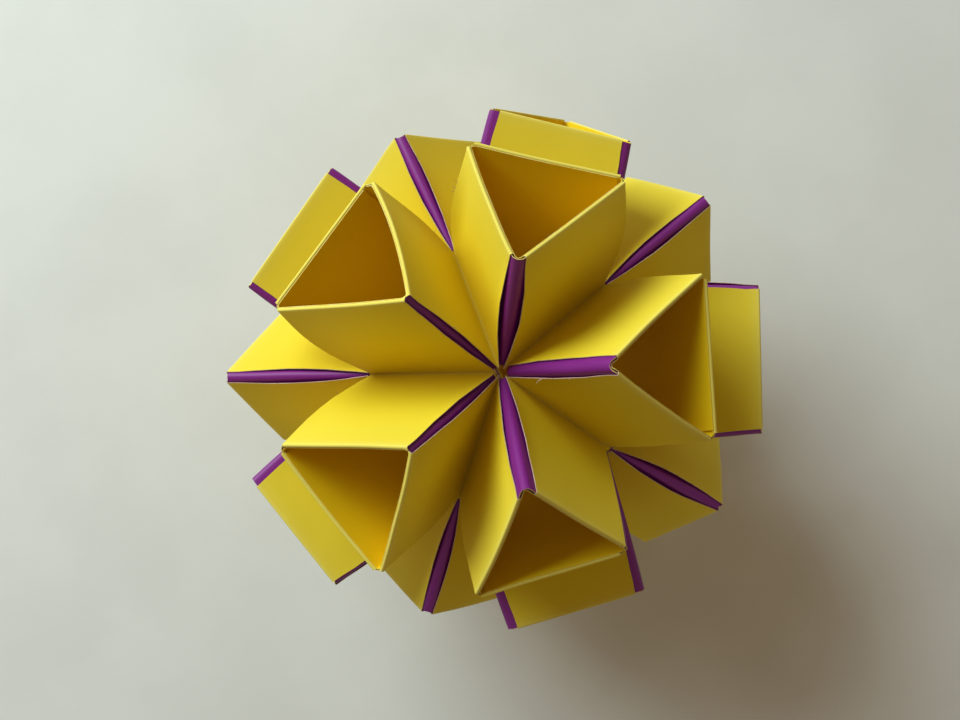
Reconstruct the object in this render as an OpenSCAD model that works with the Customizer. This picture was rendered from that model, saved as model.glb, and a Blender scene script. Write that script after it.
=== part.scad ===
// Paper ball of twenty triangle tubes and thirty hinge strips
//
// The tubes stand on the faces of an icosahedron and the hinges lie along its edges. A tube is one strip of
// two-sided paper, wound twice round a triangle with its purple side out. A hinge is one strip of the same
// paper with its yellow side out. It lines the groove between two tubes, folds over their rims and ends in
// two flaps, each tucked between the two turns of a tube. The ball stands on the corners of its base tubes.

/* [Paper] */
// Thickness of the paper
paper_t = 0.12; // [0.1:0.01:0.2]
// Free space between two layers that slide past each other
layer_gap = 0.05; // [0.04:0.01:0.12]

/* [Triangle tubes] */
// Side of a tube, from sharp corner to sharp corner on its outside
tube_side = 26; // [18:0.5:40]
// Depth of a tube, which is the width of its strip
tube_depth = 25; // [15:0.5:40]
// Outside radius of a tube's round corners
corner_r = 0.6; // [0.4:0.05:0.9]
// Angle that the strip's outer end turns round its last corner
end_turn = 100; // [60:5:110]

/* [Hinge strips] */
// Distance between a hinge's cut edge and the start of a tube's round corner
hinge_setback = 0.1; // [0.05:0.05:2]
// Length of each flap, from the rim down between the two turns of a tube
flap_length = 12.5; // [5:0.5:14]
// Radius of the valley crease, at the middle of the paper
valley_r = 0.4; // [0.2:0.05:0.8]

/* [Hidden] */
// Flat steps in each bend of a strip
bend_steps = 4;

// Layers of a wall, counted from the groove: hinge, outer turn of the tube, flap, inner turn of the tube
layer_pitch = paper_t + layer_gap;
function layer_depth(layer) = layer * layer_pitch + paper_t / 2;
hinge_layer = layer_depth(0);
outer_turn = layer_depth(1);
flap_layer = layer_depth(2);
inner_turn = layer_depth(3);

// Icosahedron whose edges are the bottoms of the grooves
golden = (1 + sqrt(5)) / 2;
edge = tube_side + 2 * sqrt(3) * layer_pitch;
vertex_r = edge * sqrt(golden * sqrt(5)) / 2;
edge_r = edge * golden / 2;
face_r = edge * golden * golden / (2 * sqrt(3));
face_in_r = edge / (2 * sqrt(3));
// Half the angle that an edge spans at the centre, and half the angle of a groove
half_edge_angle = atan(1 / golden);
half_groove = acos(face_r / edge_r);

// Bends of the strips, at the middle of the paper
corner_mid_r = corner_r - paper_t / 2;
rim_mid_r = layer_pitch;
corner_tangent = corner_mid_r * tan(60);

// From the sharp corner of the outer turn to the place where the turn that steps outward lies flat
flat_start = (inner_turn - outer_turn) / sin(60) + corner_tangent;
hinge_w = edge - 2 * (outer_turn / tan(30) + flat_start + hinge_setback);

// Height of the ball's centre over the surface that it stands on. Its lowest points are the corners of the
// base tubes that lie nearest the pole, or the ends of the rims beside them.
face_tilt = acos(face_r / vertex_r);
corner_reach = tube_side / sqrt(3) - corner_r;
corner_drop = (face_r + tube_depth) * cos(face_tilt) + corner_reach * sin(face_tilt);
rim_r = edge_r + tube_depth * cos(half_groove) - outer_turn * sin(half_groove) + rim_mid_r + paper_t / 2;
rim_drop = rim_r * cos(half_edge_angle) + hinge_w / 2 * sin(half_edge_angle);
rest_height = max(corner_drop, rim_drop);

// Vertices of the icosahedron
pole = [0, 0, vertex_r];
function ring_vertex(angle, z) = [2 * z * cos(angle), 2 * z * sin(angle), z];
function upper(k) = ring_vertex(72 * k + 36, vertex_r / sqrt(5));
function lower(k) = -ring_vertex(72 * k + 180, vertex_r / sqrt(5));

// Each tube with the vertices of its face, counterclockwise from outside
TUBES = concat(
    [for (k = [0:4]) [str("crown_tube_", k + 1), [upper(k), upper(k + 1), pole]]],
    [for (k = [0:4]) [str("upper_belt_tube_", k + 1), [lower(k + 1), upper(k + 1), upper(k)]]],
    [for (k = [0:4]) [str("lower_belt_tube_", k + 1), [lower(k), lower(k + 1), upper(k)]]],
    [for (k = [0:4]) [str("base_tube_", k + 1), [lower(k + 1), lower(k), -pole]]]
);

// Each hinge with the two vertices of its edge
HINGES = concat(
    [for (k = [0:4]) [str("crown_hinge_", k + 1), [pole, upper(k)]]],
    [for (k = [0:4]) [str("upper_ring_hinge_", k + 1), [upper(k), upper(k + 1)]]],
    [for (k = [0:9]) [str("zigzag_hinge_", k + 1), [upper(floor(k / 2)), lower(ceil(k / 2))]]],
    [for (k = [0:4]) [str("lower_ring_hinge_", k + 1), [lower(k), lower(k + 1)]]],
    [for (k = [0:4]) [str("base_hinge_", k + 1), [-pole, lower(k)]]]
);

function unit(v) = v / norm(v);
function left_of(v) = [-v.y, v.x];
function turned(v, angle) = [v.x * cos(angle) - v.y * sin(angle), v.x * sin(angle) + v.y * cos(angle)];
function backwards(list) = [for (i = [len(list) - 1:-1:0]) list[i]];

// One face of a bend in a strip: the middle line turns at path[i] with radius r, side is 1 left and -1 right
function bend(path, i, r, side) =
    let (
        before = unit(path[i] - path[i - 1]),
        after = unit(path[i + 1] - path[i]),
        way = sign(cross(before, after)),
        angle = acos(before * after),
        to_centre = left_of(before) * way,
        centre = path[i] - before * r * tan(angle / 2) + to_centre * r,
        reach = r - way * side * paper_t / 2,
        step = way * angle / bend_steps
    )
    [for (k = [0:bend_steps]) centre - reach * turned(to_centre, k * step)];

// One face of a folded strip, from end to end
function strip_face(path, radii, side) =
    let (
        last = len(path) - 1,
        first_way = unit(path[1] - path[0]),
        last_way = unit(path[last] - path[last - 1]),
        out = side * paper_t / 2
    )
    concat(
        [path[0] + left_of(first_way) * out],
        [for (i = [1:last - 1]) each bend(path, i, radii[i - 1], side)],
        [path[last] + left_of(last_way) * out]
    );

// Section of a strip of paper that is folded along a path
module folded_strip(path, radii) {
    polygon(concat(strip_face(path, radii, 1), backwards(strip_face(path, radii, -1))));
}

// Moves a piece so that its own axes point along x, y and z from the given origin
module in_place(origin, x, y, z) {
    multmatrix([
        [x.x, y.x, z.x, origin.x],
        [x.y, y.y, z.y, origin.y],
        [x.z, y.z, z.z, origin.z + rest_height],
        [0, 0, 0, 1]
    ]) children();
}

// Corner of a tube's triangle where wall k - 1 at one depth behind the groove meets wall k at another
function along_wall(k) = [cos(120 * k), sin(120 * k)];
function wall_corner(k, depth_before, depth_after) =
    let (
        before = face_in_r - depth_before,
        after = face_in_r - depth_after,
        along = (before + after * cos(60)) / sin(60)
    )
    -after * left_of(along_wall(k)) - along * along_wall(k);

// A tube's strip: three walls inside, a step outward at the first corner, then three walls outside
module triangle_tube(face) {
    normal = unit(face[0] + face[1] + face[2]);
    across = unit(face[1] - face[0]);
    start = wall_corner(0, inner_turn, outer_turn);
    inward = left_of(along_wall(0)) * (inner_turn - outer_turn);
    // The outer end stops part of the way round its last corner
    end_tangent = corner_mid_r * tan(end_turn / 2);
    end_corner = wall_corner(0, outer_turn, outer_turn) - along_wall(2) * (corner_tangent - end_tangent);
    path = [
        start + inward + along_wall(0) * corner_tangent,
        wall_corner(1, inner_turn, inner_turn),
        wall_corner(2, inner_turn, inner_turn),
        start,
        wall_corner(1, outer_turn, outer_turn),
        wall_corner(2, outer_turn, outer_turn),
        end_corner,
        end_corner + turned(along_wall(2), end_turn) * (end_tangent + paper_t / 2)
    ];
    color("purple")
    in_place(face_r * normal, across, cross(normal, across), normal)
    linear_extrude(tube_depth)
    folded_strip(path, [for (i = [1:6]) corner_mid_r]);
}

// Point of a hinge's section, at a depth behind one face of the groove and a height up that face
function groove_point(side, depth, height) = [
    side * (height * sin(half_groove) + depth * cos(half_groove)),
    height * cos(half_groove) - depth * sin(half_groove)
];

// A hinge's strip: flap, hairpin over a rim, groove face, valley, groove face, hairpin, flap
module hinge_strip(ends) {
    outward = unit(ends[0] + ends[1]);
    along = unit(ends[1] - ends[0]);
    fold_h = tube_depth + rim_mid_r;
    path = [
        groove_point(-1, flap_layer, fold_h - flap_length),
        groove_point(-1, flap_layer, fold_h),
        groove_point(-1, hinge_layer, fold_h),
        [0, -hinge_layer / sin(half_groove)],
        groove_point(1, hinge_layer, fold_h),
        groove_point(1, flap_layer, fold_h),
        groove_point(1, flap_layer, fold_h - flap_length)
    ];
    color("gold")
    in_place(edge_r * outward, cross(outward, along), outward, along)
    linear_extrude(hinge_w, center = true)
    folded_strip(path, [rim_mid_r, rim_mid_r, valley_r, rim_mid_r, rim_mid_r]);
}

for (piece = TUBES) {
    triangle_tube(piece[1]);
}
for (piece = HINGES) {
    hinge_strip(piece[1]);
}
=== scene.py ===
# %% [markdown]
# # A paper ball made of folded strips
#
# The real ball has no glue and no core. Twenty strips of two-sided paper are wound into triangular tubes,
# purple side out, and thirty more are folded over the rims of the tubes and hinge them together, yellow
# side out. The solids of these fifty strips are the frame of this scene. Every strip is modelled again here
# as a thin, slightly uneven sheet with two coloured sides and a pale cut edge, because that is what folded
# paper looks like close up.

# %% load the frame
import math
import random

import bpy
from mathutils import Matrix, Vector, noise


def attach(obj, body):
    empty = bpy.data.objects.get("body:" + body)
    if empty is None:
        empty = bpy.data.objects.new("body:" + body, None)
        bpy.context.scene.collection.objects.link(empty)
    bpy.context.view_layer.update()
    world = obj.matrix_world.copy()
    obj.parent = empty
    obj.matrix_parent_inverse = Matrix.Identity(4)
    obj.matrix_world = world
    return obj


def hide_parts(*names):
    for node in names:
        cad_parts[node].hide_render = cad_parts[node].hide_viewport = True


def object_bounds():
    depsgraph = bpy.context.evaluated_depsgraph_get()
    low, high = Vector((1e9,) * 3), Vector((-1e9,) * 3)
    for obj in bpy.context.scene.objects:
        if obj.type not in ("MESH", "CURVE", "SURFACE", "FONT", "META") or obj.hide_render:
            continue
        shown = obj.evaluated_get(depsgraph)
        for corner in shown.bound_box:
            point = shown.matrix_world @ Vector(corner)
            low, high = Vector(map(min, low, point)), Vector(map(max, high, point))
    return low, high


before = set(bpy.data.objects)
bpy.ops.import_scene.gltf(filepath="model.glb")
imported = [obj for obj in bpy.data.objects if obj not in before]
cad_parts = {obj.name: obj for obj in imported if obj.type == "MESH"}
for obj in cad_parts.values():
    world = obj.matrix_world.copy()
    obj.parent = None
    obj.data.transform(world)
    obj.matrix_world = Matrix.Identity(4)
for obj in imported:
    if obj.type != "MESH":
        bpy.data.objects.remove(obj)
cad_box = [list(corner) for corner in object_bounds()]
MM = 0.001


def in_mm(box):
    """A box in metres as rounded millimetres, to be printed."""
    return [[round(c / MM, 1) for c in corner] for corner in box]


print("frame:", len(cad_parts), "strips, box in mm", in_mm(cad_box))

# %% [markdown]
# ## The sizes that the strips share
#
# Paper folds are simple once the layers of a wall are counted. From a groove into a tube come the hinge,
# the outer turn of the tube, the hinge's flap and the inner turn of the tube. All sizes are in millimetres,
# and the pieces are scaled to metres when they are put in place.

# %% sizes of the paper and of the ball
PAPER = 0.12
LAYER_GAP = 0.05
TUBE_SIDE = 26.0
TUBE_DEPTH = 25.0
CORNER_R = 0.6
SOFT_CORNER_R = 1.0
INNER_CORNER_R = 0.5
HINGE_SETBACK = 0.1
FLAP_LENGTH = 12.5
SIN60 = math.sin(math.radians(60))
TAN60 = math.tan(math.radians(60))

layer_pitch = PAPER + LAYER_GAP
hinge_layer, outer_turn, flap_layer, inner_turn = [k * layer_pitch + PAPER / 2 for k in range(4)]
golden = (1 + math.sqrt(5)) / 2
edge = TUBE_SIDE + 2 * TAN60 * layer_pitch
vertex_r = edge * math.sqrt(golden * math.sqrt(5)) / 2
edge_r = edge * golden / 2
face_r = edge * golden ** 2 / (2 * TAN60)
face_in_r = edge / (2 * TAN60)
half_groove = math.acos(face_r / edge_r)
corner_mid_r = CORNER_R - PAPER / 2
corner_tangent = corner_mid_r * TAN60
flat_start = (inner_turn - outer_turn) / SIN60 + corner_tangent
hinge_w = edge - 2 * (outer_turn * TAN60 + flat_start + HINGE_SETBACK)
bend_r = SOFT_CORNER_R - PAPER / 2
bend_tangent = bend_r * TAN60
bend_start = outer_turn * TAN60 + bend_tangent
centre = Vector((0, 0, (cad_box[0][2] + cad_box[1][2]) / 2 / MM))
print(f"icosahedron edge {edge:.2f} mm, hinge width {hinge_w:.2f} mm")
print(f"centre of the ball {centre.z:.2f} mm above the table")

# %% [markdown]
# ## Camera, table and light
#
# The camera looks almost straight down on the crown of the ball. The table is one pale plane. One wide,
# cool window light comes from the upper left. The warm, even light of the room is added further down, with
# the finishes.

# %% camera
CAMERA_DISTANCE = 201.3
CAMERA_SIDE = Vector((-3.05, 1.62, 0))
CAMERA_TURN = (-0.05, 1.85, -2.14)
CAMERA_LENS = 41.3

bpy.ops.object.select_all(action="DESELECT")
bpy.ops.object.camera_add(rotation=[math.radians(angle) for angle in CAMERA_TURN])
camera = bpy.context.object
camera.name = "camera"
camera.data.lens = CAMERA_LENS
camera.data.clip_start = 0.01
from_centre = camera.rotation_euler.to_matrix() @ (CAMERA_SIDE + Vector((0, 0, CAMERA_DISTANCE)))
camera.location = (centre + from_centre) * MM
bpy.context.scene.camera = camera
print("camera at", [round(c / MM) for c in camera.location], "mm")

# %% table and window light
TABLE_SIZE = 3.0
WINDOW_FROM = Vector((-0.52, 0.60, 0.48))
WINDOW_AWAY = 0.75
WINDOW_SIZE = 0.50
WINDOW_WATTS = 7.0
WINDOW_COLOUR = (0.85, 1.0, 1.0)

bpy.ops.mesh.primitive_plane_add(size=TABLE_SIZE)
table = bpy.context.object
table.name = "table"

window_place = centre * MM + WINDOW_FROM.normalized() * WINDOW_AWAY
window_turn = WINDOW_FROM.to_track_quat("Z", "Y").to_euler()
bpy.ops.object.light_add(type="AREA", location=window_place, rotation=window_turn)
window = bpy.context.object
window.name = "window"
window.data.size = WINDOW_SIZE
window.data.energy = WINDOW_WATTS
window.data.color = WINDOW_COLOUR
bpy.context.scene.view_settings.view_transform = "Standard"
print("lamp:", window.name, "of", WINDOW_WATTS, "watts")

# %% [markdown]
# ## Shader sums
#
# Long chains of nodes are easier to read as sums. This class wraps one output socket, and each operator
# adds a Math node. Its method `node` adds any other node: first its settings are set, then its sockets are
# filled or linked.


# %% a socket that can be used in sums
class Value:
    """One output of a material's node tree."""

    def __init__(self, tree, socket):
        self.tree = tree
        self.socket = socket

    @classmethod
    def node(cls, tree, kind, settings=None, sockets=None, output=0):
        made = tree.nodes.new(kind)
        for key, setting in (settings or {}).items():
            setattr(made, key, setting)
        for key, value in (sockets or {}).items():
            if isinstance(value, Value):
                tree.links.new(value.socket, made.inputs[key])
            else:
                made.inputs[key].default_value = value
        return cls(tree, made.outputs[output])

    def maths(self, operation, first, second):
        return Value.node(self.tree, "ShaderNodeMath", {"operation": operation}, {0: first, 1: second})

    def __add__(self, other):
        return self.maths("ADD", self, other)

    __radd__ = __add__

    def __mul__(self, other):
        return self.maths("MULTIPLY", self, other)

    __rmul__ = __mul__

    def between(self, low, high):
        """0 below low, 1 above high, smooth between them."""
        sockets = {"Value": self, "From Min": low, "From Max": high}
        return Value.node(self.tree, "ShaderNodeMapRange", {"interpolation_type": "SMOOTHSTEP"}, sockets)

    def mix(self, first, second):
        """The first colour where this value is 0, the second where it is 1."""
        settings = {"data_type": "RGBA"}
        return Value.node(self.tree, "ShaderNodeMix", settings, {0: self, 6: first, 7: second}, output=2)


def new_finish(name):
    """A material and its node tree, with an empty tree but for the output and the shader."""
    material = bpy.data.materials.new(name)
    material.use_nodes = True
    return material, material.node_tree


def grain(tree, where, scale, detail, stretch=(1, 1, 1)):
    """Noise with a number of lumps per unit, drawn out along an axis whose part of stretch is below 1."""
    stretched = Value.node(tree, "ShaderNodeMapping", {}, {"Vector": where, "Scale": stretch})
    return Value.node(tree, "ShaderNodeTexNoise", {}, {"Vector": stretched, "Scale": scale, "Detail": detail})


# %% [markdown]
# ## The two sides of the paper and its cut edge
#
# Two-sided craft paper is dyed through a thin coat on each side, over a pale core. Close up it is never one
# flat colour: the coat is a little uneven, long fibres show as faint streaks along the strip, and handling
# has rubbed it thin on the rims. Light is painted on as well: the coat is painted paler towards the rims as a
# painted highlight, the paler colour of the rubbed rims is partly a painted highlight, the valley creases are
# painted darker as painted shade, and the inside of each tube is painted a deeper amber, as painted light
# bounced between its yellow walls.
# Streaks follow the strip, so they read its UV map, which is in millimetres. The rest reads attributes that
# the modelling writes: `rimward` grows from the valley to the rim, and `rim`, `valley` and `cut` are 1 on a
# rim, on a valley crease and on a cut edge. The cut edges of the hinges show the pinkish core. Those of the
# tubes lie between yellow layers and are cream.

# %% paper sides
YELLOW = (0.82, 0.625, 0.026, 1)
YELLOW_THIN = (0.78, 0.565, 0.014, 1)
# partly rubbed wear and partly painted highlight: the paler colour of the folded rims, which catch the light
YELLOW_RUBBED_AND_RIM_LIT = (0.88, 0.80, 0.28, 1)
# painted highlight: the paler colour the coat is given towards the rims, where more light falls
YELLOW_PAINTED_RIM_LIGHT = (0.87, 0.73, 0.11, 1)
# painted shade: the darker brown the valley creases are given, where shadow falls
YELLOW_CREASE_SHADE = (0.50, 0.29, 0.006, 1)
# painted bounce light: the deeper amber of the yellow paper inside the tubes, where light bounced between
# yellow walls
AMBER_BOUNCE_LIGHT = (0.88, 0.61, 0.010, 1)
AMBER_BOUNCE_LIGHT_THIN = (0.84, 0.55, 0.006, 1)
PURPLE = (0.225, 0.014, 0.25, 1)
PURPLE_THIN = (0.19, 0.010, 0.18, 1)
PURPLE_RUBBED = (0.42, 0.20, 0.38, 1)
CORE = (0.62, 0.43, 0.37, 1)
CORE_DYED = (0.42, 0.25, 0.20, 1)
CREAM = (0.86, 0.72, 0.24, 1)
CREAM_DYED = (0.84, 0.62, 0.06, 1)

CLOUDS_PER_MM = 0.12
STREAKS_PER_MM = 0.9
STREAK_STRETCH = (0.25, 2.2, 1)
TOOTH_PER_MM = 4.5
TOOTH_STRENGTH = 0.10
TOOTH_DEPTH = 0.00006
# least share of the painted highlight towards the rims
LEAST_PAINTED_RIM_LIGHT = 0.18
# least share of the painted shade in the valley creases
LEAST_CREASE_SHADE = 0.20
# most share of the rim colour, which is partly wear and partly painted highlight
MOST_WEAR_AND_RIM_LIGHT = 0.5
MOST_DUST = 0.30


def mark(tree, name):
    """An attribute that the modelling wrote."""
    return Value.node(tree, "ShaderNodeAttribute", {"attribute_name": name}, output="Fac")


def paper_side(name, coat, roughness, gloss):
    """One side of the paper. Its coat's colours: full, thin, rubbed rims (partly painted highlight), painted
    rim highlight, painted crease shade.
    """
    full, thin, rubbed_and_rim_lit, rim_light_colour, crease_shade_colour = coat
    material, tree = new_finish(name)
    strip = Value.node(tree, "ShaderNodeTexCoord", output="UV")
    cloud = grain(tree, strip, CLOUDS_PER_MM, 3.0)
    streak = grain(tree, strip, STREAKS_PER_MM, 4.0, STREAK_STRETCH)
    tooth = grain(tree, strip, TOOTH_PER_MM, 3.0)
    thin_coat = cloud * 0.55 + streak * 0.45
    colour = thin_coat.between(0.35, 0.68).mix(thin, full)
    # painted highlight: the coat is painted paler from partway up the wall to the rim, where more light falls
    painted_rim_light = mark(tree, "rimward").between(0.3, 1.0) * (LEAST_PAINTED_RIM_LIGHT + 0.22 * cloud)
    colour = painted_rim_light.mix(colour, rim_light_colour)
    # painted shade: the valley creases are painted darker, as if in shadow
    painted_crease_shade = mark(tree, "valley") * (LEAST_CREASE_SHADE + 0.5 * streak)
    colour = painted_crease_shade.mix(colour, crease_shade_colour)
    # partly real wear, partly painted highlight: the folded rims are painted paler; the cut edges get paler
    # dust
    worn_and_rim_lit = mark(tree, "rim") * (streak * 0.7 + tooth * 0.5).between(0.40, 0.72) * MOST_WEAR_AND_RIM_LIGHT
    dusty = mark(tree, "cut") * tooth.between(0.45, 0.70) * MOST_DUST
    colour = (worn_and_rim_lit + dusty).mix(colour, rubbed_and_rim_lit)
    height = tooth * 0.6 + streak * 0.4
    relief = {"Strength": TOOTH_STRENGTH, "Distance": TOOTH_DEPTH, "Height": height}
    bump = Value.node(tree, "ShaderNodeBump", {}, relief, output="Normal")
    shader = tree.nodes["Principled BSDF"]
    tree.links.new(colour.socket, shader.inputs["Base Color"])
    tree.links.new((roughness + 0.12 * tooth).socket, shader.inputs["Roughness"])
    tree.links.new(bump.socket, shader.inputs["Normal"])
    shader.inputs["Specular IOR Level"].default_value = gloss
    return material


FUZZ_PER_M = 2600.0
STAINS_PER_M = 260.0


def cut_edge(name, core, dyed):
    """The core of the paper where it was cut, with some dye in it."""
    material, tree = new_finish(name)
    where = Value.node(tree, "ShaderNodeTexCoord", output="Object")
    fuzz = grain(tree, where, FUZZ_PER_M, 2.0)
    stain = grain(tree, where, STAINS_PER_M, 3.0)
    colour = (fuzz * 0.5 + stain * 0.5).between(0.38, 0.62).mix(dyed, core)
    shader = tree.nodes["Principled BSDF"]
    tree.links.new(colour.socket, shader.inputs["Base Color"])
    tree.links.new((0.75 + 0.2 * fuzz).socket, shader.inputs["Roughness"])
    return material


yellow_coat = (YELLOW, YELLOW_THIN, YELLOW_RUBBED_AND_RIM_LIT, YELLOW_PAINTED_RIM_LIGHT, YELLOW_CREASE_SHADE)
# the inside of the tubes: the same yellow paper, painted a deeper amber as painted bounce light
bounce_lit_coat = (AMBER_BOUNCE_LIGHT, AMBER_BOUNCE_LIGHT_THIN, YELLOW_RUBBED_AND_RIM_LIT, AMBER_BOUNCE_LIGHT, AMBER_BOUNCE_LIGHT_THIN)
purple_coat = (PURPLE, PURPLE_THIN, PURPLE_RUBBED, PURPLE, PURPLE_THIN)
yellow_side = paper_side("yellow_side", yellow_coat, roughness=0.58, gloss=0.06)
yellow_inside_bounce_lit = paper_side("yellow_inside_bounce_lit", bounce_lit_coat, roughness=0.58, gloss=0.08)
purple_side = paper_side("purple_side", purple_coat, roughness=0.40, gloss=0.32)
pale_edge = cut_edge("pale_edge", CORE, CORE_DYED)
cream_edge = cut_edge("cream_edge", CREAM, CREAM_DYED)
paper_finishes = (yellow_side, yellow_inside_bounce_lit, purple_side, pale_edge, cream_edge)
print("paper finishes:", *[finish.name for finish in paper_finishes])

# %% [markdown]
# The table gets a finish of its own: a pale sheet with a very slight tooth, so that the shadow of the ball
# shows.

# %% table finish
TABLE_PALE = (0.80, 0.79, 0.77, 1)
TABLE_GREY = (0.76, 0.75, 0.73, 1)
TABLE_CLOUDS_PER_M = 30.0

table_finish, table_tree = new_finish("table_sheet")
table_where = Value.node(table_tree, "ShaderNodeTexCoord", output="Object")
table_cloud = grain(table_tree, table_where, TABLE_CLOUDS_PER_M, 4.0)
table_colour = table_cloud.between(0.35, 0.65).mix(TABLE_GREY, TABLE_PALE)
table_shader = table_tree.nodes["Principled BSDF"]
table_tree.links.new(table_colour.socket, table_shader.inputs["Base Color"])
table_shader.inputs["Roughness"].default_value = 0.8
table.data.materials.append(table_finish)
print("table finish:", table_finish.name)

# %% [markdown]
# The world is the light of the room that fills the shadows. It is weak and a little warm, so that the
# window stays the main light. Where the camera looks past the table it would be a dark wall, so there it
# shows a pale backdrop instead. Shiny surfaces mirror the backdrop too. It adds no other light.

# %% room light and backdrop
ROOM_LEVEL = 0.21
ROOM_COLOUR = (1.0, 0.76, 0.47, 1)
BACKDROP = (0.78, 0.77, 0.75, 1)

room = bpy.data.worlds.new("room")
room.use_nodes = True
room_tree = room.node_tree
fill = Value.node(room_tree, "ShaderNodeBackground", {}, {"Color": ROOM_COLOUR, "Strength": ROOM_LEVEL})
backdrop = Value.node(room_tree, "ShaderNodeBackground", {}, {"Color": BACKDROP, "Strength": 1.0})
looks = Value.node(room_tree, "ShaderNodeLightPath", output="Is Camera Ray")
mirrors = Value.node(room_tree, "ShaderNodeLightPath", output="Is Glossy Ray")
passes = Value.node(room_tree, "ShaderNodeLightPath", output="Is Transmission Ray")
shown = looks.maths("MAXIMUM", looks, mirrors.maths("MAXIMUM", mirrors, passes))
both = Value.node(room_tree, "ShaderNodeMixShader", {}, {0: shown, 1: fill, 2: backdrop})
room_tree.links.new(both.socket, room_tree.nodes["World Output"].inputs["Surface"])
bpy.context.scene.world = room
print("room light of level", ROOM_LEVEL, "and a pale backdrop")

# %% [markdown]
# ## The skeleton of the ball
#
# The strips hang on an icosahedron: a tube stands on each face and a hinge lies along each edge. Its twelve
# points are numbered from the crown, 0, over the upper ring, 1 to 5, and the lower ring, 6 to 10, to the
# foot, 11.

# %% points, tubes and hinges
CROWN, FOOT = 0, 11


def ring_point(angle, z):
    angle = math.radians(angle)
    return Vector((2 * abs(z) * math.cos(angle), 2 * abs(z) * math.sin(angle), z))


ring_z = vertex_r / math.sqrt(5)
points = [Vector((0, 0, vertex_r))]
points += [ring_point(72 * k + 36, ring_z) for k in range(5)]
points += [ring_point(72 * k, -ring_z) for k in range(5)]
points += [Vector((0, 0, -vertex_r))]


def upper(k):
    return 1 + k % 5


def lower(k):
    return 6 + k % 5


tubes = {}
hinges = {}
for k in range(5):
    number = k + 1
    tubes[f"crown_tube_{number}"] = (upper(k), upper(k + 1), CROWN)
    tubes[f"upper_belt_tube_{number}"] = (lower(k + 1), upper(k + 1), upper(k))
    tubes[f"lower_belt_tube_{number}"] = (lower(k), lower(k + 1), upper(k))
    tubes[f"base_tube_{number}"] = (lower(k + 1), lower(k), FOOT)
    hinges[f"crown_hinge_{number}"] = (CROWN, upper(k))
    hinges[f"upper_ring_hinge_{number}"] = (upper(k), upper(k + 1))
    hinges[f"zigzag_hinge_{2 * k + 1}"] = (upper(k), lower(k))
    hinges[f"zigzag_hinge_{2 * k + 2}"] = (upper(k), lower(k + 1))
    hinges[f"lower_ring_hinge_{number}"] = (lower(k), lower(k + 1))
    hinges[f"base_hinge_{number}"] = (FOOT, lower(k))
print(len(points), "points,", len(tubes), "tubes,", len(hinges), "hinges")

# %% [markdown]
# ## How a hand-folded ball departs from the ideal one
#
# Folded paper is springy, so no two tubes of a real ball stand quite alike. Each corner of a tube's mouth
# is nudged a millimetre or two sideways, and so is each pit. The nudges on the crown are read off the real
# ball, and the rest are drawn at random from a fixed seed. Walls also bow a little, most at the rim,
# where nothing holds them, and the corners bulge between the pit and the mouth.

# %% nudges, bows and bulges
rng = random.Random(5)
PIT_WANDER = 0.5
MOUTH_WANDER = 1.0
BOW_SPREAD = 0.45

pit_nudges = [Vector([rng.uniform(-PIT_WANDER, PIT_WANDER) for axis in range(3)]) for point in points]
pit_nudges[CROWN] = Vector((1.0, -0.3, 0))
pit_nudges[upper(0)] = Vector((1.5, 1.0, 0))
pit_nudges[upper(1)] = Vector((0.3, -0.4, 0))
pit_nudges[upper(2)] = Vector((0.3, 0, 0))
pit_nudges[upper(3)] = Vector((-0.3, -1.0, 0))
pit_nudges[upper(4)] = Vector((1.3, -1.4, 0))
pit_nudges[FOOT] = Vector((-1.2, 1.4, 0))

mouth_nudges = {}
for name, face in tubes.items():
    for corner in face:
        spread = 0 if corner == FOOT else MOUTH_WANDER
        mouth_nudges[name, corner] = Vector([rng.uniform(-spread, spread) for axis in range(3)])

SEEN_MOUTHS = {
    "crown_tube_1": {CROWN: (-0.7, 0.4), upper(0): (-0.4, 1.1), upper(1): (-0.8, -0.2)},
    "crown_tube_2": {CROWN: (1.3, 1.5), upper(1): (1.4, 0.4), upper(2): (0.5, 1.5)},
    "crown_tube_3": {CROWN: (1.0, -1.3), upper(2): (0.4, -1.2), upper(3): (0.7, -1.1)},
    "crown_tube_4": {CROWN: (-0.9, -1.5), upper(3): (-2.4, 0.6), upper(4): (-2.2, -0.8)},
    "crown_tube_5": {CROWN: (1.0, 0.2), upper(4): (0.5, 0.5), upper(0): (-0.2, 1.1)},
    "upper_belt_tube_1": {upper(0): (-0.6, 0.1), upper(1): (-1.0, -0.7), lower(1): (0.3, 1.2)},
    "upper_belt_tube_2": {upper(1): (1.3, 0.2), upper(2): (0.6, 0.2)},
    "upper_belt_tube_3": {upper(2): (-0.1, -1.6), upper(3): (-0.8, -0.1)},
    "upper_belt_tube_4": {upper(3): (-1.1, 0.7), upper(4): (-1.2, -0.9)},
    "upper_belt_tube_5": {upper(4): (1.2, -0.1), upper(0): (1.6, 0.1)},
    "lower_belt_tube_1": {upper(0): (0.5, 0.8)},
    "lower_belt_tube_2": {upper(1): (-1.2, -2.6)},
    "lower_belt_tube_3": {upper(2): (-1.6, 0.3)},
    "lower_belt_tube_4": {upper(3): (0.6, 1.8)},
    "lower_belt_tube_5": {upper(4): (0.6, 1.8)},
}
for name, corners in SEEN_MOUTHS.items():
    for corner, (x, y) in corners.items():
        mouth_nudges[name, corner] = Vector((x, y, 0))

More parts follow.
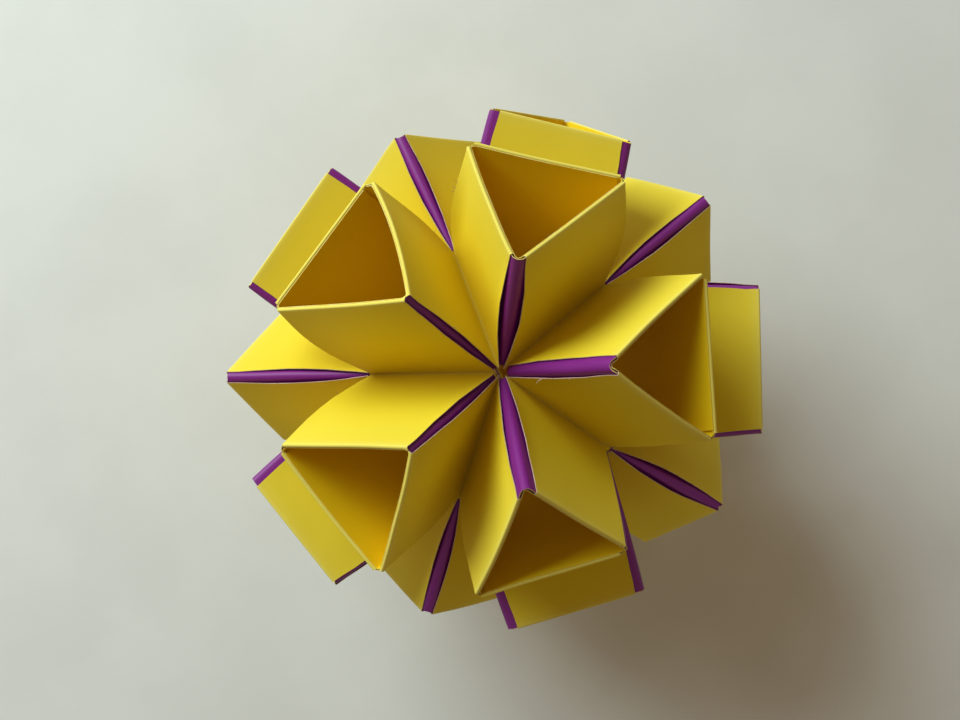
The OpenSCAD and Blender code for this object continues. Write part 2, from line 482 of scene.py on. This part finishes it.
bows = {}
for name, face in tubes.items():
    for start, end in zip(face, face[1:] + face[:1]):
        bows[name, start, end] = bows[name, end, start] = rng.uniform(-BOW_SPREAD, BOW_SPREAD)
SEEN_BOWS = {
    ("crown_tube_1", CROWN, upper(0)): 0.1,
    ("crown_tube_1", CROWN, upper(1)): 0.4,
    ("crown_tube_2", CROWN, upper(1)): 1.1,
    ("crown_tube_2", CROWN, upper(2)): 0.2,
    ("crown_tube_3", CROWN, upper(2)): 0.1,
    ("crown_tube_3", CROWN, upper(3)): 0.3,
    ("crown_tube_4", CROWN, upper(3)): -0.5,
    ("crown_tube_5", CROWN, upper(0)): 0.3,
}
for (name, start, end), bow in SEEN_BOWS.items():
    bows[name, start, end] = bows[name, end, start] = bow

CORNER_BULGE = (0.1, 0.5)
bulges = {(name, corner): rng.uniform(*CORNER_BULGE) for name, face in tubes.items() for corner in face}
SEEN_BULGES = {
    ("crown_tube_1", upper(0)): 1.6,
    ("crown_tube_1", upper(1)): 0.6,
    ("crown_tube_2", upper(2)): 1.5,
    ("crown_tube_3", upper(2)): 1.2,
    ("crown_tube_4", upper(3)): 0.8,
}
bulges.update(SEEN_BULGES)
for k in range(5):
    bulges[f"crown_tube_{k + 1}", CROWN] = 0
print(len(mouth_nudges), "mouth corners nudged and", len(bulges), "corners bulged")
print(len(bows) // 2, "walls bowed")

# %% [markdown]
# ## Where a point of a wall ends up
#
# A wall is known by its tube and its two corners. Any point of it, in any of its four layers, is moved by
# the same rule: the nudges of the four corners are blended, and a bow, a slight ripple and the bulges of
# its corners are added. As all layers share the rule, they stay nested as they are in the solids, but for
# small cuts close to the rims, where a hairpin turns over the round corner of a tube.

# %% moving a wall
RIPPLE = 0.10
RIPPLE_LENGTH = 9.0
RIPPLE_APART = 7
RIPPLE_RISE = 4
BOW_RISE = 1.3
BULGE_RISE = 1.3
BULGE_FALL = 3


def tube_axis(name):
    return sum((points[corner] for corner in tubes[name]), Vector()).normalized()


def wall_outward(name, start, end):
    """From the inside of a tube through one of its walls."""
    along = points[end] - points[start]
    outward = along.cross(tube_axis(name)).normalized()
    middle = (points[start] + points[end]) / 2
    return outward if outward.dot(middle - tube_axis(name) * face_r) > 0 else -outward


def corner_outward(name, corner):
    """From the axis of a tube through one of its corners."""
    return (points[corner] - tube_axis(name) * face_r).normalized()


def wall_shift(name, start, end, share, height):
    """The move of a point at a share of the way along a wall, 0 to 1, and a height up it, 0 to 1."""
    share = min(max(share, 0), 1)
    pit = pit_nudges[start].lerp(pit_nudges[end], share)
    mouth = mouth_nudges[name, start].lerp(mouth_nudges[name, end], share)
    free = 4 * share * (1 - share)
    outward = wall_outward(name, start, end)
    place = points[start].lerp(points[end], share) + tube_axis(name) * height * TUBE_DEPTH
    ripple = RIPPLE * noise.noise(place / RIPPLE_LENGTH + outward * RIPPLE_APART)
    lean = bows[name, start, end] * free * height ** BOW_RISE + ripple * min(1, RIPPLE_RISE * height)
    bulge = corner_outward(name, start) * bulges[name, start] * (1 - share) ** BULGE_FALL
    bulge += corner_outward(name, end) * bulges[name, end] * share ** BULGE_FALL
    bulge *= math.sin(math.pi * height ** BULGE_RISE)
    return pit.lerp(mouth, height) + outward * lean + bulge


crown_move = wall_shift("crown_tube_1", CROWN, upper(0), 0.5, 0.8)
print("the middle of a crown wall moves", [round(c, 2) for c in crown_move], "mm")

# %% [markdown]
# ## Folding a strip
#
# A strip is modelled the way it is folded. It starts as one upright edge, which is what is left of a plane
# once its other side is deleted. Extruding that edge from fold to fold draws the paper, with a few short
# steps round each bend, and subdividing the upright edges gives it rows that can bow. The path is the
# middle of the paper, and the yellow side is on its left.


# %% path of a folded strip
def left_of(way):
    return Vector((-way.y, way.x))


def folded_path(corners, radii, bend_steps, flat_step):
    """Points along the middle of a strip, and how near each is to a crease: 1 on it, 0 away from it."""
    path = [corners[0]]
    near = [0.0]
    for index, radius in enumerate(radii, start=1):
        before = (corners[index] - corners[index - 1]).normalized()
        after = (corners[index + 1] - corners[index]).normalized()
        turn = before.angle_signed(after) * -1
        side = left_of(before) * math.copysign(1, turn)
        first = corners[index] - before * radius * math.tan(abs(turn) / 2)
        middle = first + side * radius
        add_flat(path, near, first, flat_step)
        for step in range(1, bend_steps + 1):
            spoke = -side * radius
            spoke.rotate(Matrix.Rotation(turn * step / bend_steps, 2))
            path.append(middle + spoke)
            near.append(1.0)
        near[-bend_steps - 1] = 1.0
    add_flat(path, near, corners[-1], flat_step)
    return path, near


def add_flat(path, near, end, flat_step):
    """Goes straight on to end, in steps of about flat_step, closer together near both ends."""
    start = path[-1]
    length = (end - start).length
    if length < 1e-6:
        return
    steps = max(2, round(length / flat_step))
    for step in range(1, steps + 1):
        share = 0.5 - 0.5 * math.cos(math.pi * step / steps)
        path.append(start.lerp(end, share))
        near.append(0.0)


# %% drawing the strip with extrude and subdivide
ROW_CROWDING = 0.28


def draw_strip(name, path, near, width, rows):
    """A flat strip folded along a path, upright, with its UV map in millimetres and its creases marked."""
    bpy.ops.object.select_all(action="DESELECT")
    bpy.ops.mesh.primitive_plane_add(size=width, rotation=(math.pi / 2, 0, 0))
    bpy.ops.object.transform_apply(rotation=True)
    strip = bpy.context.object
    strip.name = name
    mesh = strip.data
    bpy.ops.object.mode_set(mode="EDIT")
    bpy.ops.mesh.select_mode(type="VERT")
    bpy.ops.mesh.select_all(action="DESELECT")
    bpy.ops.object.mode_set(mode="OBJECT")
    for vertex in mesh.vertices:
        vertex.select = vertex.co.x > 0
    bpy.ops.object.mode_set(mode="EDIT")
    bpy.ops.mesh.delete(type="VERT")
    bpy.ops.mesh.select_all(action="SELECT")
    bpy.ops.transform.translate(value=(path[0].x + width / 2, path[0].y, 0))
    for start, end in zip(path, path[1:]):
        step = end - start
        bpy.ops.mesh.extrude_region_move(TRANSFORM_OT_translate={"value": (step.x, step.y, 0)})
    bpy.ops.mesh.select_mode(type="EDGE")
    bpy.ops.mesh.select_all(action="DESELECT")
    bpy.ops.object.mode_set(mode="OBJECT")
    for line in mesh.edges:
        low, high = [mesh.vertices[index].co for index in line.vertices]
        line.select = abs(low.z - high.z) > width / 2
    bpy.ops.object.mode_set(mode="EDIT")
    bpy.ops.mesh.subdivide(number_cuts=rows - 1)
    bpy.ops.object.mode_set(mode="OBJECT")
    for vertex in mesh.vertices:
        t = vertex.co.z / (width / 2)
        vertex.co.z *= 1 + ROW_CROWDING * (1 - t * t)
    mark_strip(mesh, path, near, width)
    return strip


# how far the rim colour (partly painted highlight), the painted crease shade and the cut-edge dust reach
RIM_REACH = 0.7
VALLEY_REACH = 0.5
CUT_REACH = 0.6


def mark_strip(mesh, path, near, width):
    """Writes where each vertex is on the flat strip to the UV map, and how near a crease or a cut it is."""
    along = [0.0]
    for start, end in zip(path, path[1:]):
        along.append(along[-1] + (end - start).length)
    creases = [(distance, point.y > 0) for distance, point, bent in zip(along, path, near) if bent > 0]
    places = []
    for vertex in mesh.vertices:
        nearest = min(range(len(path)), key=lambda index: (path[index] - vertex.co.xy).length_squared)
        places.append(along[nearest])
    marks = {key: mesh.attributes.new(key, "FLOAT", "POINT") for key in ("rim", "valley", "cut")}
    for vertex, place in zip(mesh.vertices, places):
        to_rim = min((abs(place - at) for at, high in creases if high), default=width)
        to_valley = min((abs(place - at) for at, high in creases if not high), default=width)
        to_cut = min(width / 2 - abs(vertex.co.z), place, along[-1] - place)
        marks["rim"].data[vertex.index].value = max(0, 1 - to_rim / RIM_REACH)
        marks["valley"].data[vertex.index].value = max(0, 1 - to_valley / VALLEY_REACH)
        marks["cut"].data[vertex.index].value = max(0, 1 - to_cut / CUT_REACH)
    flat = mesh.uv_layers.new(name="strip")
    for loop in mesh.loops:
        vertex = mesh.vertices[loop.vertex_index]
        flat.data[loop.index].uv = (places[vertex.index], vertex.co.z)


# %% [markdown]
# ## Thickness and finish
#
# A drawn strip is a sheet with no thickness. Solidify gives it one, half to each side, and gives the back
# and the cut edges the next two materials of the piece. The front is the side on the left of the path, so
# its normals are checked first and flipped if the sheet was drawn the other way round.


# %% finishing a strip
SMOOTH_BELOW = math.radians(50)


def finish_strip(name, mesh, front, rim):
    """Makes a placed strip a finished piece that stands for its solid."""
    piece = bpy.data.objects.new(name + "_paper", mesh)
    bpy.context.collection.objects.link(piece)
    for material in (front, purple_side, rim):
        mesh.materials.append(material)
    bpy.ops.object.select_all(action="DESELECT")
    piece.select_set(True)
    bpy.context.view_layer.objects.active = piece
    thick = piece.modifiers.new("thickness", "SOLIDIFY")
    thick.thickness = PAPER * MM
    thick.offset = 0
    thick.use_even_offset = True
    thick.material_offset = 1
    thick.material_offset_rim = 2
    bpy.ops.object.modifier_apply(modifier=thick.name)
    bpy.ops.object.shade_smooth_by_angle(angle=SMOOTH_BELOW)
    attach(piece, "root")
    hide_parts(name)
    return piece


def face_left(strip, path):
    """Turns the sheet so that its front is on the left of its path."""
    way = path[1] - path[0]
    nearest = min(strip.data.polygons, key=lambda face: (face.center.xy - (path[0] + path[1]) / 2).length)
    if nearest.normal.xy.dot(left_of(way)) < 0:
        bpy.ops.object.mode_set(mode="EDIT")
        bpy.ops.mesh.select_all(action="SELECT")
        bpy.ops.mesh.flip_normals()
        bpy.ops.object.mode_set(mode="OBJECT")


# %% [markdown]
# ## The hinge strips
#
# A hinge starts as a flap inside one tube, comes up, turns over the rim in a hairpin, runs down to the
# valley of the groove and up the other side, and ends as a flap again. One is drawn with its valley at the
# origin, and a copy is carried to each edge. On the real ball the cut edges of a hinge lift off the tube a
# little and gape, most in the upper half of the groove, and the slits close towards the pits. Each copy
# gets that in its own measure. Inside the wall the flaps taper, so that they clear the round corners of the
# tube.

# %% the hinge that the others are copied from
HINGE_ROWS = 18
SHARP_VALLEY_R = 0.08
FLAT_STEP = 2.2


def groove_point(side, depth, height):
    """Across the groove and outward, at a depth behind one of its faces and a height up it."""
    across = height * math.sin(half_groove) + depth * math.cos(half_groove)
    return Vector((side * across, height * math.cos(half_groove) - depth * math.sin(half_groove)))


def groove_height(x, y):
    """How far up a face of the groove a point of the drawn hinge is: 0 in the valley, 1 at the rim."""
    return (abs(x) * math.sin(half_groove) + y * math.cos(half_groove)) / TUBE_DEPTH


fold_height = TUBE_DEPTH + layer_pitch
hinge_corners = [
    groove_point(-1, flap_layer, fold_height - FLAP_LENGTH),
    groove_point(-1, flap_layer, fold_height),
    groove_point(-1, hinge_layer, fold_height),
    Vector((0, -hinge_layer / math.sin(half_groove))),
    groove_point(1, hinge_layer, fold_height),
    groove_point(1, flap_layer, fold_height),
    groove_point(1, flap_layer, fold_height - FLAP_LENGTH),
]
hinge_radii = [layer_pitch, layer_pitch, SHARP_VALLEY_R, layer_pitch, layer_pitch]
hinge_path, hinge_near = folded_path(hinge_corners, hinge_radii, bend_steps=4, flat_step=FLAT_STEP)
hinge_sheet = draw_strip("hinge_sheet", hinge_path, hinge_near, hinge_w, HINGE_ROWS)
face_left(hinge_sheet, hinge_path)
# rimward, 0 in the valley and 1 at the rim, is read by the painted highlight towards the rims
rimward = hinge_sheet.data.attributes.new("rimward", "FLOAT", "POINT")
for vertex in hinge_sheet.data.vertices:
    rimward.data[vertex.index].value = groove_height(vertex.co.x, vertex.co.y)
print("hinge sheet:", len(hinge_sheet.data.vertices), "points")

# %% carrying a hinge to each edge
GAPE = (0.15, 0.6)
SLIT_AT_PIT = (0.7, 1.1)
SLIT_AT_MOUTH = (1.5, 2.0)
SLIT_BELLY = (0.0, 0.4)
SLIT_RISE = 0.6
BELLY_RISE = 1.3
CURL_FROM = 0.72
GAPE_RISE = 0.8
GAPE_FALL = 1.5
EDGE_WOBBLE = 0.16
EDGE_WOBBLE_LENGTH = 2.5
EDGE_WOBBLE_FALL = 8
EDGES_APART = 3
FLAP_TAPER = 0.8
RIM_SWELL = 0.06
SWELL_REACH = 0.06
ideal_slit = (edge - hinge_w) / 2
flap_clear = bend_start + (inner_turn - outer_turn) / SIN60 + HINGE_SETBACK
flap_from = 1.5 * layer_pitch

slits = {}
for name, face in tubes.items():
    for corner in face:
        ranges = (SLIT_AT_MOUTH, SLIT_BELLY, SLIT_AT_PIT, GAPE)
        slits[name, corner] = [rng.uniform(*limits) for limits in ranges]
slits["crown_tube_5", CROWN] = (2.6, 0.2, 1.7, 0.2)
slits["crown_tube_1", CROWN] = (2.2, 0.6, 0.7, 0.7)
slits["crown_tube_2", CROWN] = (1.1, 0.2, 0.7, 0.3)
slits["crown_tube_3", CROWN] = (1.2, 0.2, 0.7, 0.3)
slits["crown_tube_4", CROWN] = (3.2, 0.2, 1.1, 0.3)
slits["crown_tube_1", upper(1)] = (1.6, 0.2, 0.9, 1.2)
slits["crown_tube_4", upper(4)] = (2.4, 0.1, 1.9, 0.1)
for k in range(5):
    slits[f"lower_belt_tube_{k + 1}", upper(k)] = (1.9, 0.5, 0.6, 0.4)
slits["lower_belt_tube_5", upper(4)] = (1.5, 1.1, 0.5, 0.5)
slits["upper_belt_tube_1", upper(1)] = (2.9, 0.0, 1.5, 0.1)
slits["upper_belt_tube_1", upper(0)] = (2.6, 0.0, 1.5, 0.1)
slits["upper_belt_tube_2", upper(1)] = (2.4, 0.0, 1.5, 0.1)
slits["upper_belt_tube_2", upper(2)] = (2.3, 0.0, 1.5, 0.1)
slits["upper_belt_tube_3", upper(2)] = (2.9, 0.0, 1.5, 0.1)
slits["upper_belt_tube_4", upper(3)] = (2.9, 0.0, 1.5, 0.1)
slits["upper_belt_tube_4", upper(4)] = (2.8, 0.0, 1.6, 0.1)


def hinge_tubes(ends):
    """The tubes beside an edge: under -1 the one on its negative side, under 1 the other."""
    outward = (points[ends[0]] + points[ends[1]]).normalized()
    across = outward.cross(points[ends[1]] - points[ends[0]])
    beside = [name for name, face in tubes.items() if set(ends) <= set(face)]
    return dict(zip((-1, 1), sorted(beside, key=lambda name: tube_axis(name).dot(across))))


def rim_swell(height):
    """How far a folded rim swells to each side, at a height up the wall."""
    return RIM_SWELL * min(1, max(0, height - 1 + SWELL_REACH) / SWELL_REACH) ** 2


def hung_point(ends, beside, point):
    """Where a point of the drawn hinge ends up on the ball, in millimetres."""
    x, y, z = point
    start, end = ends
    along = (points[end] - points[start]).normalized()
    outward = (points[start] + points[end]).normalized()
    across = outward.cross(along)
    way = 1 if z > 0 else -1
    tube = beside[1 if x > 0 else -1]
    mouth_slit, belly, pit_slit, gape = slits[tube, end if z > 0 else start]
    depth = abs(x) * math.cos(half_groove) - y * math.sin(half_groove)
    height = groove_height(x, y)
    low = min(max(height, 0), 1)
    to_edge = abs(z) / (hinge_w / 2)
    lift = 0
    slit = mouth_slit
    if depth < layer_pitch:
        slit = pit_slit + (mouth_slit - pit_slit) * low ** SLIT_RISE
        slit += belly * math.sin(math.pi * low ** BELLY_RISE)
        curl = max(0, to_edge - CURL_FROM) / (1 - CURL_FROM)
        lift = gape * curl ** 2 * math.sin(math.pi * low ** GAPE_RISE) ** GAPE_FALL
    wobble = noise.noise(points[start] + Vector((x, y, EDGES_APART * way)) / EDGE_WOBBLE_LENGTH)
    wobble *= EDGE_WOBBLE * to_edge ** EDGE_WOBBLE_FALL
    z += way * ((ideal_slit - slit) * to_edge ** 2 + wobble)
    if depth > flap_from:
        below_rim = min(1, max(0, 1 - height) * TUBE_DEPTH / FLAP_TAPER)
        z -= way * max(0, flap_clear - slit) * below_rim * to_edge ** 2
        into_bend = max(0, bend_start - (edge / 2 - abs(z)))
        lift = -into_bend ** 2 / (2 * bend_r)
    layer = (depth - hinge_layer) / (flap_layer - hinge_layer)
    lift += (1 - 2 * layer) * rim_swell(height)
    moved = wall_shift(tube, start, end, z / edge + 0.5, low)
    moved += wall_outward(tube, start, end) * lift
    return centre + outward * (edge_r + y) + across * x + along * z + moved


def place_hinge(name, ends):
    """A copy of the drawn hinge, carried to its edge and finished."""
    mesh = hinge_sheet.data.copy()
    mesh.name = name + "_paper"
    beside = hinge_tubes(ends)
    for vertex in mesh.vertices:
        vertex.co = hung_point(ends, beside, vertex.co) * MM
    return finish_strip(name, mesh, yellow_side, pale_edge)


hinge_pieces = [place_hinge(name, ends) for name, ends in hinges.items()]
bpy.data.objects.remove(hinge_sheet)
print(len(hinge_pieces), "hinges of", len(hinge_pieces[0].data.polygons), "faces")

# %% [markdown]
# ## The tube strips
#
# A tube's strip goes three walls round on the inside, steps outward at the first corner, goes three walls
# round on the outside, and its end turns most of the way round the first corner again. Its corners are soft
# bends, not creases. They are what shows purple between the cut edges of the hinges.

# %% the tube that the others are copied from
TUBE_ROWS = 14
END_TURN = math.radians(100)


def along_wall(k):
    angle = math.radians(120 * k)
    return Vector((math.cos(angle), math.sin(angle)))


def wall_corner(k, depth_before, depth_after):
    """Where wall k - 1 at one depth behind the groove meets wall k at another."""
    before = face_in_r - depth_before
    after = face_in_r - depth_after
    back = (before + after / 2) / SIN60
    return -left_of(along_wall(k)) * after - along_wall(k) * back


step_out = wall_corner(0, inner_turn, outer_turn)
end_tangent = bend_r * math.tan(END_TURN / 2)
end_corner = wall_corner(0, outer_turn, outer_turn) - along_wall(2) * (bend_tangent - end_tangent)
end_way = along_wall(2)
end_way.rotate(Matrix.Rotation(END_TURN, 2))
tube_corners = [
    step_out + left_of(along_wall(0)) * (inner_turn - outer_turn) + along_wall(0) * bend_tangent,
    wall_corner(1, inner_turn, inner_turn),
    wall_corner(2, inner_turn, inner_turn),
    step_out,
    wall_corner(1, outer_turn, outer_turn),
    wall_corner(2, outer_turn, outer_turn),
    end_corner,
    end_corner + end_way * (end_tangent + PAPER / 2),
]
tube_radii = [INNER_CORNER_R] * 2 + [bend_r] * 4
tube_path, tube_near = folded_path(tube_corners, tube_radii, bend_steps=6, flat_step=FLAT_STEP)
no_creases = [0.0] * len(tube_near)
tube_sheet = draw_strip("tube_sheet", tube_path, no_creases, TUBE_DEPTH, TUBE_ROWS)
face_left(tube_sheet, tube_path)
print("tube sheet:", len(tube_sheet.data.vertices), "points")


# %% carrying a tube to each face
CORNER_DENT = (0.05, 0.35)
DENT_REACH = 0.15

dents = {(name, corner): rng.uniform(*CORNER_DENT) for name, face in tubes.items() for corner in face}
dents["crown_tube_5", CROWN] = 1.0
dents["crown_tube_1", CROWN] = dents["crown_tube_4", CROWN] = 0.05


def place_tube(name, face):
    """A copy of the drawn tube, carried to its face and finished."""
    normal = tube_axis(name)
    across = (points[face[1]] - points[face[0]]).normalized()
    up = normal.cross(across)
    mesh = tube_sheet.data.copy()
    mesh.name = name + "_paper"
    for vertex in mesh.vertices:
        x, y, z = vertex.co
        flat = Vector((x, y))
        wall = max(range(3), key=lambda k: -left_of(along_wall(k)).dot(flat))
        start, end = face[wall], face[(wall + 1) % 3]
        share = flat.dot(along_wall(wall)) / edge + 0.5
        height = z / TUBE_DEPTH + 0.5
        moved = wall_shift(name, start, end, share, height)
        from_corner = min(share, 1 - share) * edge / bend_start
        near_mouth = max(0, height - 1 + DENT_REACH) / DENT_REACH
        if from_corner < 1:
            corner = start if share < 0.5 else end
            z -= dents[name, corner] * (1 - from_corner ** 2) * near_mouth ** 2
        behind = face_in_r + left_of(along_wall(wall)).dot(flat)
        if behind > flap_layer:
            moved -= wall_outward(name, start, end) * rim_swell(height)
        place = normal * (face_r + z + TUBE_DEPTH / 2) + across * x + up * y
        vertex.co = (centre + place + moved) * MM
    # the yellow side inside the tube gets the amber of painted bounce light
    return finish_strip(name, mesh, yellow_inside_bounce_lit, cream_edge)


tube_pieces = [place_tube(name, face) for name, face in tubes.items()]
bpy.data.objects.remove(tube_sheet)
print(len(tube_pieces), "tubes of", len(tube_pieces[0].data.polygons), "faces")

# %% [markdown]
# ## Loose fibres on the cut edges
#
# A cut leaves a few fibres of the paper's core standing out of its edge. One fibre is a three-sided needle,
# extruded in short steps that lean over and taper. Copies of it stand on the cut edges of the hinges, the
# longest ones where the real ball shows them and short ones at random, and all of them are joined to one
# piece.

# %% the fibre that the others are copied from
FIBRE_R = 0.07
FIBRE_STEPS = 4
FIBRE_LEAN = 0.10
FIBRE_TAPER = 0.72

bpy.ops.object.select_all(action="DESELECT")
bpy.ops.mesh.primitive_circle_add(vertices=3, radius=FIBRE_R, fill_type="NGON")
fibre = bpy.context.object
fibre.name = "fibre"
bpy.ops.object.mode_set(mode="EDIT")
bpy.ops.mesh.select_mode(type="FACE")
bpy.ops.mesh.select_all(action="SELECT")
top = Vector()
for step in range(1, FIBRE_STEPS + 1):
    rise = Vector((FIBRE_LEAN * step / FIBRE_STEPS, 0, 1 / FIBRE_STEPS))
    top += rise
    bpy.ops.mesh.extrude_region_move(TRANSFORM_OT_translate={"value": rise})
    bpy.ops.transform.resize(value=(FIBRE_TAPER, FIBRE_TAPER, 1), center_override=top)
bpy.ops.mesh.select_all(action="SELECT")
bpy.ops.mesh.normals_make_consistent(inside=False)
bpy.ops.object.mode_set(mode="OBJECT")
print("fibre:", len(fibre.data.polygons), "faces, top at", [round(c, 2) for c in top])

# %% standing the fibres on the cut edges
SHORT_FIBRE = (0.25, 0.8)
FIBRE_HEIGHTS = (3, 22)
FIBRES_PER_HINGE = 2
FIBRE_OUT = (0.5, 1.0)
FIBRE_OVER = (0.2, 0.9)
FIBRE_UP = (-0.5, 0.5)
SEEN_FIBRES = [
    ("crown_hinge_5", "crown_tube_5", CROWN, 8.0, 1.9),
    ("crown_hinge_5", "crown_tube_5", CROWN, 8.6, 1.3),
    ("crown_hinge_5", "crown_tube_5", CROWN, 15.0, 1.1),
    ("crown_hinge_5", "crown_tube_4", CROWN, 7.0, 1.8),
    ("crown_hinge_2", "crown_tube_2", CROWN, 14.0, 0.9),
    ("crown_hinge_2", "crown_tube_1", upper(1), 15.0, 0.7),
    ("crown_hinge_2", "crown_tube_1", upper(1), 16.0, 0.8),
    ("crown_hinge_2", "crown_tube_1", upper(1), 17.2, 0.6),
]


def stand_fibre(hinge, tube, corner, height, length):
    """A copy of the fibre on a hinge's cut edge, at a height in millimetres above the pit."""
    ends = hinges[hinge]
    beside = hinge_tubes(ends)
    side = 1 if beside[1] == tube else -1
    way = 1 if corner == ends[1] else -1
    edge_point = groove_point(side, hinge_layer, height).to_3d() + Vector((0, 0, way * hinge_w / 2))
    root = hung_point(ends, beside, edge_point)
    over_slit = (points[corner] - points[ends[0] if way > 0 else ends[1]]).normalized()
    lean = wall_outward(tube, *ends) * rng.uniform(*FIBRE_OUT)
    lean += over_slit * rng.uniform(*FIBRE_OVER)
    lean += tube_axis(tube) * rng.uniform(*FIBRE_UP)
    turn = lean.to_track_quat("Z", "X").to_matrix().to_4x4()
    size = Matrix.Diagonal((MM, MM, length * MM, 1))
    mesh = fibre.data.copy()
    mesh.transform(Matrix.Translation(root * MM) @ turn @ size)
    standing = bpy.data.objects.new("fibre", mesh)
    bpy.context.collection.objects.link(standing)
    return standing


fibres = [stand_fibre(*seen) for seen in SEEN_FIBRES]
for name, ends in hinges.items():
    for count in range(FIBRES_PER_HINGE):
        tube = rng.choice(list(hinge_tubes(ends).values()))
        corner = rng.choice(ends)
        height = rng.uniform(*FIBRE_HEIGHTS)
        fibres.append(stand_fibre(name, tube, corner, height, rng.uniform(*SHORT_FIBRE)))
bpy.data.objects.remove(fibre)
bpy.ops.object.select_all(action="DESELECT")
for standing in fibres:
    standing.select_set(True)
bpy.context.view_layer.objects.active = fibres[0]
bpy.ops.object.join()
loose_fibres = bpy.context.object
loose_fibres.name = loose_fibres.data.name = "loose_fibres"
loose_fibres.data.materials.append(pale_edge)
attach(loose_fibres, "root")
fibre_count = len(SEEN_FIBRES) + FIBRES_PER_HINGE * len(hinges)
print(fibre_count, "fibres,", len(loose_fibres.data.polygons), "faces")
